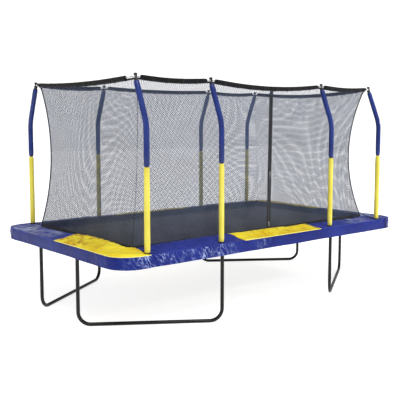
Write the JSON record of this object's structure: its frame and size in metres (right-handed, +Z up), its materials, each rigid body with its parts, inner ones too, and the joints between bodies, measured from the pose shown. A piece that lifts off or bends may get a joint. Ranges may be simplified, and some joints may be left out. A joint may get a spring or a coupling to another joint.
{
  "type": "trampoline",
  "caption": "Rectangular garden trampoline on U-shaped legs, with a padded frame, sprung mat and a zipped net enclosure on leaning padded poles.",
  "frame": {"origin": "on the ground under the middle of the mat", "axes": "+X along the long side, +Y from the door side to the back, +Z up"},
  "size_m": [4.63, 2.798, 2.7457],
  "materials": {
    "frame_paint": "satin",
    "leg_paint": "satin",
    "pole_paint": "satin",
    "spring_steel": "satin",
    "yellow_sleeve": "satin",
    "blue_sleeve": "satin",
    "ring_foam": "matte",
    "mat_weave": "matte",
    "pad_cover": "satin",
    "net_mesh": "matte",
    "zip_tape": "matte",
    "zip_slider": "satin"
  },
  "bodies": {
    "frame": {"frame_corner_front_left": "frame_paint", "frame_rail_front_left": "frame_paint", "leg_base_front_left": "leg_paint", "leg_post_front_left_end": "leg_paint", "leg_post_front_left_side": "leg_paint", "frame_corner_back_left": "frame_paint", "frame_rail_back_left": "frame_paint", "leg_base_back_left": "leg_paint", "leg_post_back_left_end": "leg_paint", "leg_post_back_left_side": "leg_paint", "frame_corner_front_right": "frame_paint", "frame_rail_front_right": "frame_paint", "leg_base_front_right": "leg_paint", "leg_post_front_right_end": "leg_paint", "leg_post_front_right_side": "leg_paint", "frame_corner_back_right": "frame_paint", "frame_rail_back_right": "frame_paint", "leg_base_back_right": "leg_paint", "leg_post_back_right_end": "leg_paint", "leg_post_back_right_side": "leg_paint", "pole_front_1": "pole_paint", "sleeve_lower_front_1": "yellow_sleeve", "sleeve_upper_front_1": "blue_sleeve", "pole_front_2": "pole_paint", "sleeve_lower_front_2": "yellow_sleeve", "sleeve_upper_front_2": "blue_sleeve", "pole_front_3": "pole_paint", "sleeve_lower_front_3": "yellow_sleeve", "sleeve_upper_front_3": "blue_sleeve", "pole_front_4": "pole_paint", "sleeve_lower_front_4": "yellow_sleeve", "sleeve_upper_front_4": "blue_sleeve", "pole_back_1": "pole_paint", "sleeve_lower_back_1": "yellow_sleeve", "sleeve_upper_back_1": "blue_sleeve", "pole_back_2": "pole_paint", "sleeve_lower_back_2": "yellow_sleeve", "sleeve_upper_back_2": "blue_sleeve", "pole_back_3": "pole_paint", "sleeve_lower_back_3": "yellow_sleeve", "sleeve_upper_back_3": "blue_sleeve", "pole_back_4": "pole_paint", "sleeve_lower_back_4": "yellow_sleeve", "sleeve_upper_back_4": "blue_sleeve", "top_ring": "ring_foam", "springs": "spring_steel", "pad_left": "pad_cover", "net_left": "net_mesh", "pad_right": "pad_cover", "net_right": "net_mesh", "pad_front": "pad_cover", "net_front": "net_mesh", "pad_back": "pad_cover", "net_back": "net_mesh", "door_zip": "zip_tape"},
    "mat": {"jumping_mat": "mat_weave"},
    "upper_slider": {"zip_slider_upper": "zip_slider"},
    "lower_slider": {"zip_slider_lower": "zip_slider"}
  },
  "joints": [
    {"name": "mat_bounce", "type": "slide", "parent": "frame", "child": "mat", "axis": [0, 0, 1], "range_m": [-0.3, 0.03], "stiffness_N_per_m": 6000, "springref_m": 0.012, "deforming": ["springs"]},
    {"name": "upper_slider_travel", "type": "slide", "parent": "frame", "child": "upper_slider", "axis": [0, -0.0152, 0.9999], "range_m": [-0.27, 0.92]},
    {"name": "lower_slider_travel", "type": "slide", "parent": "frame", "child": "lower_slider", "axis": [0, -0.0152, 0.9999], "range_m": [-0.008, 0.26]}
  ]
}
